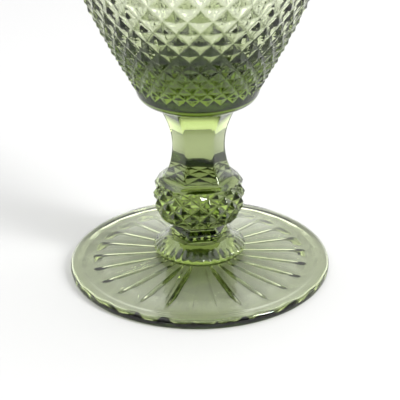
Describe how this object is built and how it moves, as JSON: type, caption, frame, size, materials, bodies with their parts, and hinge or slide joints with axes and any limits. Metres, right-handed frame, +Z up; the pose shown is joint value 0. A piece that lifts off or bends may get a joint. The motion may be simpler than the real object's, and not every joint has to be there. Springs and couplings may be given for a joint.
{
  "type": "wine glass",
  "caption": "Pressed green glass goblet with a diamond-point bowl, hexagonal stem, diamond-point knop, ribbed disc and round foot.",
  "frame": {"origin": "centre of the foot's flat resting ring, on the surface that the goblet stands on", "axes": "+Z up along the goblet's axis, towards the mouth; -Y towards one flat side of the hexagonal stem"},
  "size_m": [0.085, 0.085, 0.16],
  "materials": {
    "green_glass": "clear olive green pressed glass, fire polished, darker where it is thick"
  },
  "bodies": {
    "root": {"foot": "green_glass", "disc": "green_glass", "collar": "green_glass", "knop": "green_glass", "stem": "green_glass", "bowl": "green_glass"}
  },
  "joints": []
}
